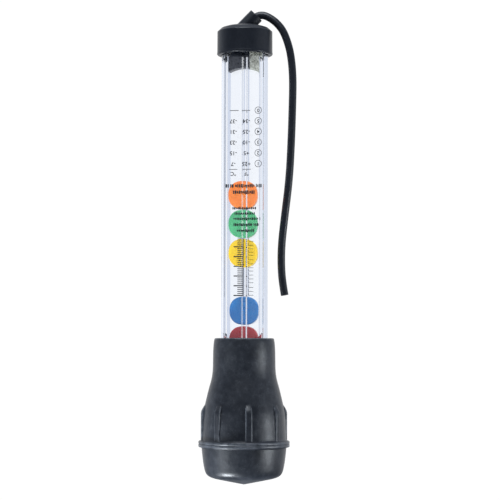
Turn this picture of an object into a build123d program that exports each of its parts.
# Floating-disc coolant (antifreeze) tester, built in builder mode, millimetres.
# Frame: +Z runs up the float tube, the tip of the squeeze bulb is at the origin,
# the flats of the tube face -Y and +Y, and the suction hose hangs on the +X side.
from build123d import *
import math
import os

os.makedirs("parts", exist_ok=True)

# ---------------------------------------------------------------- dimensions
# clear float tube
TUBE_R = 12.25            # outside radius of the round ends
TUBE_Z0 = 52.0            # lower end, inside the neck of the bulb
TUBE_Z1 = 232.0           # upper end, inside the cap
FLAT_Y = 6.8              # distance of each flat from the axis
FLAT_Z0 = 79.5            # flats run at full width from here ...
FLAT_Z1 = 219.0           # ... to here, then end in an arch
ARCH_W = 10.6             # half width of each arch, a little past the flat's own edge
ARCH_H = 6.5              # height of each arch
CHANNEL_W = 17.0          # float channel, side to side
CHANNEL_D = 7.8           # float channel, front to back
CHANNEL_R = 0.5           # corner radius of the channel
RIB_X = 0.6               # centring rib on the front and back channel wall
RIB_BASE = 3.0
RIB_TOP = 1.5
RIB_H = 0.75

# floating discs (flat, standing on edge in the channel)
DISC_HALF_W = 7.6       # the outline is a little squarer than a circle
DISC_HALF_H = 7.3
DISC_SQUARE = 2.35      # exponent of the outline, 2.0 would be an ellipse
DISC_T = 6.0
DISC_ROUND = 0.4
# centre of each disc, x and z: they lie a little to one side of the channel
DISC_AT = {"disc_red": (0.1, 74.45), "disc_blue": (0.3, 89.8),
           "disc_yellow": (-0.3, 119.65), "disc_green": (-0.35, 134.85),
           "disc_orange": (-0.45, 149.9)}

# stop that keeps the discs out of the bulb
STOP_TOP_Z = 64.0
STOP_FLANGE_T = 1.6
STOP_W = 16.8
STOP_D = 6.1
STOP_SLOT_W = 6.0
STOP_SLOT_D = 3.4

# rubber cap with angled hose spout
CAP_R = 14.45
CAP_Z0 = 223.4
CAP_SHOULDER_Z = 235.7
CAP_TOP_Z = 239.4
SPOUT_R = 4.0
SPOUT_ANGLE = 45.0                     # above the horizontal, towards +X
SPOUT_END = (6.1, 244.35)              # centre of the end face, x and z
SPOUT_LENGTH = 13.0
PLUG_X0, PLUG_X1 = -8.3, 2.9          # plug that goes down into the channel
PLUG_D = 6.1
PLUG_ARC_R = 17.4                      # hollowed lower end of plug and strainer
PLUG_ARC_TOP_Z = 216.4
PLUG_BASE_Z = 214.4
PASSAGE_R = 1.1

# foam strainer beside the plug
STRAINER_X0, STRAINER_X1 = 2.95, 8.35
STRAINER_TOP_Z = 228.0

# squeeze bulb
BULB_RIB_COUNT = 8
BULB_RIB_PHASE = 14.0                  # degrees from -Y towards +X
BULB_RIB_W = 3.3
BULB_RIB_R = 22.45
BULB_BEAD_R = 23.6
BULB_BEAD_Z0, BULB_BEAD_Z1 = 19.3, 22.7
NECK_SHOULDER_Z = TUBE_Z0 - STOP_FLANGE_T
NECK_LIP_R = 9.6

# suction hose: outside and inside radius, and its route in the x-z plane
HOSE_R = 2.0
HOSE_BORE_R = 1.0
HOSE_ROUTE = [
    (2.28, 240.53), (4.54, 242.79), (7.15, 244.35), (10.35, 244.35),
    (13.85, 242.50), (16.95, 240.00), (20.00, 236.20), (22.20, 231.00),
    (24.20, 223.70), (25.35, 211.85), (25.10, 197.40), (24.55, 179.30),
    (23.50, 158.40), (20.90, 137.50), (19.40, 124.00), (19.27, 112.95),
    (19.96, 104.26), (21.12, 97.85),
]

# ---------------------------------------------------------------- float tube
with BuildPart() as float_tube:
    with BuildSketch(Plane.XY.offset(TUBE_Z0)):
        Circle(TUBE_R)
    extrude(amount=TUBE_Z1 - TUBE_Z0)
    chamfer(float_tube.edges().filter_by(GeomType.CIRCLE), length=0.4)
    # flats on the front and back, each ending in an arched step at both ends
    for side in (-1, 1):
        with BuildSketch(Plane.XZ.offset(-side * FLAT_Y)):
            with BuildLine():
                Line((-ARCH_W, FLAT_Z0), (-ARCH_W, FLAT_Z1))
                ThreePointArc((-ARCH_W, FLAT_Z1), (0, FLAT_Z1 + ARCH_H), (ARCH_W, FLAT_Z1))
                Line((ARCH_W, FLAT_Z1), (ARCH_W, FLAT_Z0))
                ThreePointArc((ARCH_W, FLAT_Z0), (0, FLAT_Z0 - ARCH_H), (-ARCH_W, FLAT_Z0))
            make_face()
        extrude(amount=-side * 8.0, mode=Mode.SUBTRACT)
    # float channel, open at both ends
    with BuildSketch(Plane.XY.offset(TUBE_Z0)):
        RectangleRounded(CHANNEL_W, CHANNEL_D, CHANNEL_R)
    extrude(amount=TUBE_Z1 - TUBE_Z0, mode=Mode.SUBTRACT)
    # one centring rib on each broad wall of the channel
    for side in (-1, 1):
        with BuildSketch(Plane.XY.offset(TUBE_Z0 + 0.5)):
            with BuildLine():
                Polyline(
                    (RIB_X - RIB_BASE / 2, side * (CHANNEL_D / 2 + 0.2)),
                    (RIB_X - RIB_BASE / 2, side * CHANNEL_D / 2),
                    (RIB_X - RIB_TOP / 2, side * (CHANNEL_D / 2 - RIB_H)),
                    (RIB_X + RIB_TOP / 2, side * (CHANNEL_D / 2 - RIB_H)),
                    (RIB_X + RIB_BASE / 2, side * CHANNEL_D / 2),
                    (RIB_X + RIB_BASE / 2, side * (CHANNEL_D / 2 + 0.2)),
                    close=True,
                )
            make_face()
        extrude(amount=TUBE_Z1 - TUBE_Z0 - 1.0)
float_tube.part.label = "float_tube"
export_step(float_tube.part, "parts/float_tube.step")


# ------------------------------------------------------------ floating discs
def disc_outline(x, z, n=32):
    points = []
    for i in range(n):
        a = 2 * math.pi * i / n
        c, d = math.cos(a), math.sin(a)
        points.append((
            x + math.copysign(abs(c) ** (2 / DISC_SQUARE), c) * DISC_HALF_W,
            z + math.copysign(abs(d) ** (2 / DISC_SQUARE), d) * DISC_HALF_H))
    return points


def make_disc(name, x, z):
    with BuildPart() as disc:
        with BuildSketch(Plane.XZ.offset(-DISC_T / 2)):
            with BuildLine():
                Spline(*disc_outline(x, z), periodic=True)
            make_face()
        extrude(amount=DISC_T)
        ends = disc.faces().sort_by(Axis.Y)
        fillet(ends[0].edges() + ends[-1].edges(), radius=DISC_ROUND)
    disc.part.label = name
    export_step(disc.part, "parts/" + name + ".step")
    return disc.part


discs = {name: make_disc(name, x, z) for name, (x, z) in DISC_AT.items()}

# ---------------------------------------------------------------- float stop
with BuildPart() as float_stop:
    with BuildSketch(Plane.XY.offset(NECK_SHOULDER_Z)):
        Circle(TUBE_R - 0.1)
    extrude(amount=STOP_FLANGE_T)
    with BuildSketch(Plane.XY.offset(TUBE_Z0)):
        RectangleRounded(STOP_W, STOP_D, 0.5)
    extrude(amount=STOP_TOP_Z - TUBE_Z0)
    # two slots let the sample through and leave a bridge for the discs
    with BuildSketch(Plane.XY.offset(NECK_SHOULDER_Z)):
        with GridLocations(STOP_SLOT_W + 1.6, 0, 2, 1):
            RectangleRounded(STOP_SLOT_W, STOP_SLOT_D, 0.8)
    extrude(amount=STOP_TOP_Z - NECK_SHOULDER_Z, mode=Mode.SUBTRACT)
float_stop.part.label = "float_stop"
export_step(float_stop.part, "parts/float_stop.step")

# ------------------------------------------------------------------ hose cap
AX = math.cos(math.radians(SPOUT_ANGLE))
AZ = math.sin(math.radians(SPOUT_ANGLE))
spout_plane = Plane(
    origin=(SPOUT_END[0] - SPOUT_LENGTH * AX, 0, SPOUT_END[1] - SPOUT_LENGTH * AZ),
    x_dir=(0, 1, 0), z_dir=(AX, 0, AZ),
)
hose_seat = HOSE_ROUTE[0]
seat_plane = Plane(
    origin=(hose_seat[0], 0, hose_seat[1]), x_dir=(0, 1, 0), z_dir=(AX, 0, AZ),
)

with BuildPart() as hose_cap:
    # skirt and top
    with BuildSketch(Plane.XZ):
        with BuildLine():
            Polyline(
                (0, TUBE_Z1), (TUBE_R, TUBE_Z1), (TUBE_R, CAP_Z0 + 0.5),
                (TUBE_R + 0.4, CAP_Z0), (CAP_R - 0.3, CAP_Z0),
                (CAP_R + 0.1, CAP_Z0 + 0.4), (CAP_R + 0.1, CAP_Z0 + 1.1),
                (CAP_R, CAP_Z0 + 1.5), (CAP_R - 0.05, CAP_SHOULDER_Z),
                (CAP_R - 2.15, CAP_TOP_Z - 1.75),
                (CAP_R - 4.95, CAP_TOP_Z - 0.85),
                (CAP_R - 8.45, CAP_TOP_Z - 0.3), (0, CAP_TOP_Z),
                close=True,
            )
        make_face()
    revolve(axis=Axis.Z)
    # angled spout
    with BuildSketch(spout_plane):
        Circle(SPOUT_R)
    extrude(amount=SPOUT_LENGTH)
    # plug that fills part of the channel
    with BuildSketch(Plane.XY.offset(PLUG_BASE_Z)):
        with Locations(((PLUG_X0 + PLUG_X1) / 2, 0)):
            Rectangle(PLUG_X1 - PLUG_X0, PLUG_D)
    extrude(amount=TUBE_Z1 - PLUG_BASE_Z)
    with BuildSketch(Plane.XZ.offset(-PLUG_D)):
        with Locations((0, PLUG_ARC_TOP_Z - PLUG_ARC_R)):
            Circle(PLUG_ARC_R)
    extrude(amount=2 * PLUG_D, mode=Mode.SUBTRACT)
    # hose socket, and the passage from it to the space above the strainer
    with BuildSketch(seat_plane):
        Circle(HOSE_R)
    extrude(amount=SPOUT_LENGTH, mode=Mode.SUBTRACT)
    with BuildSketch(Plane.XY.offset(229.0)):
        with Locations((1.7, 0)):
            Circle(PASSAGE_R)
    extrude(amount=240.9 - 229.0, mode=Mode.SUBTRACT)
    with BuildSketch(Plane.XY.offset(228.6)):
        with Locations((2.4, 0)):
            Rectangle(3.6, 2 * PASSAGE_R)
    extrude(amount=2.2, mode=Mode.SUBTRACT)
hose_cap.part.label = "hose_cap"
export_step(hose_cap.part, "parts/hose_cap.step")

# ------------------------------------------------------------------ strainer
with BuildPart() as strainer:
    with BuildSketch(Plane.XY.offset(PLUG_BASE_Z)):
        with Locations(((STRAINER_X0 + STRAINER_X1) / 2, 0)):
            RectangleRounded(STRAINER_X1 - STRAINER_X0, PLUG_D, 0.4)
    extrude(amount=STRAINER_TOP_Z - PLUG_BASE_Z)
    with BuildSketch(Plane.XZ.offset(-PLUG_D)):
        with Locations((0, PLUG_ARC_TOP_Z - PLUG_ARC_R)):
            Circle(PLUG_ARC_R)
    extrude(amount=2 * PLUG_D, mode=Mode.SUBTRACT)
strainer.part.label = "strainer"
export_step(strainer.part, "parts/strainer.step")

# -------------------------------------------------------------- squeeze bulb
with BuildPart() as squeeze_bulb:
    with BuildSketch(Plane.XZ):
        with BuildLine():
            # outside, from the tip up to the neck rim
            l1 = Line((0, 0), (14.5, 2.9))
            l2 = Spline((14.5, 2.9), (16.6, 3.45), (18.2, 4.15), (19.4, 5.2),
                        (20.2, 6.6), (20.6, 8.0), (20.9, 10.0), (21.35, 13.1),
                        (21.75, 17.0), (21.95, BULB_BEAD_Z0))
            l3 = Line((21.95, BULB_BEAD_Z0), (BULB_BEAD_R - 0.7, BULB_BEAD_Z0))
            l4 = Line((BULB_BEAD_R - 0.7, BULB_BEAD_Z0), (BULB_BEAD_R, BULB_BEAD_Z0 + 0.8))
            l5 = Line((BULB_BEAD_R, BULB_BEAD_Z0 + 0.8), (BULB_BEAD_R, BULB_BEAD_Z1 - 0.7))
            l6 = Line((BULB_BEAD_R, BULB_BEAD_Z1 - 0.7), (BULB_BEAD_R - 0.6, BULB_BEAD_Z1))
            l7 = Line((BULB_BEAD_R - 0.6, BULB_BEAD_Z1), (21.9, BULB_BEAD_Z1))
            l8 = Spline((21.9, BULB_BEAD_Z1), (21.5, 30.6), (21.15, 36.5),
                        (20.0, 42.5), (19.2, 45.7), (18.1, 50.3), (17.2, 53.4),
                        (16.55, 56.5), (16.3, 60.0), (16.17, 65.3),
                        (16.05, 70.5), (15.75, 73.6), (15.4, 75.4))
            l9 = Line((15.4, 75.4), (TUBE_R, 75.6))
            # inside, down the neck, round the chamber and back to the axis
            l10 = Line((TUBE_R, 75.6), (TUBE_R, NECK_SHOULDER_Z))
            l11 = Line((TUBE_R, NECK_SHOULDER_Z), (NECK_LIP_R, NECK_SHOULDER_Z))
            l12 = Line((NECK_LIP_R, NECK_SHOULDER_Z), (NECK_LIP_R, NECK_SHOULDER_Z - 1.6))
            l13 = Spline((NECK_LIP_R, NECK_SHOULDER_Z - 1.6), (15.4, 45.0),
                         (17.6, 38.0), (18.6, 30.0), (18.8, 20.0), (18.3, 12.0),
                         (16.6, 7.4), (12.0, 5.4), (4.0, 4.0), (0, 3.4))
            l14 = Line((0, 3.4), (0, 0))
        make_face()
    revolve(axis=Axis.Z)
    # grip ribs with sloping tops, standing on the bead
    for k in range(BULB_RIB_COUNT):
        turn = BULB_RIB_PHASE - 90 + k * 360 / BULB_RIB_COUNT
        cx, cy = math.cos(math.radians(turn)), math.sin(math.radians(turn))
        rib_plane = Plane(origin=(0, 0, 0), x_dir=(cx, cy, 0), z_dir=(cy, -cx, 0))
        with BuildSketch(rib_plane.offset(-BULB_RIB_W / 2)):
            with BuildLine():
                Polyline(
                    (19.2, 22.0), (BULB_RIB_R, 22.0), (BULB_RIB_R, 38.2),
                    (19.95, 42.1), (19.2, 42.1), close=True,
                )
            make_face()
        extrude(amount=BULB_RIB_W)
squeeze_bulb.part.label = "squeeze_bulb"
export_step(squeeze_bulb.part, "parts/squeeze_bulb.step")

# -------------------------------------------------------------- suction hose
route = [Vector(x, 0, z) for x, z in HOSE_ROUTE]
radii = []
for i in range(1, len(route) - 1):
    a = route[i] - route[i - 1]
    b = route[i + 1] - route[i]
    turn = math.radians(a.get_angle(b))
    radii.append(0.45 * min(a.length, b.length) / math.tan(turn / 2))
print("hose corner radii:", [round(r, 1) for r in radii])

with BuildPart() as suction_hose:
    with BuildLine() as hose_line:
        FilletPolyline(*route, radius=radii)
    hose_length = hose_line.line.length if hasattr(hose_line.line, "length") else sum(
        e.length for e in hose_line.edges())
    with BuildSketch(seat_plane):
        Circle(HOSE_R)
        Circle(HOSE_BORE_R, mode=Mode.SUBTRACT)
    sweep()
suction_hose.part.label = "suction_hose"
export_step(suction_hose.part, "parts/suction_hose.step")
section = math.pi * (HOSE_R ** 2 - HOSE_BORE_R ** 2)
print("hose length mm:", round(hose_length, 2),
      "volume:", round(suction_hose.part.volume, 1),
      "section x length:", round(section * hose_length, 1))
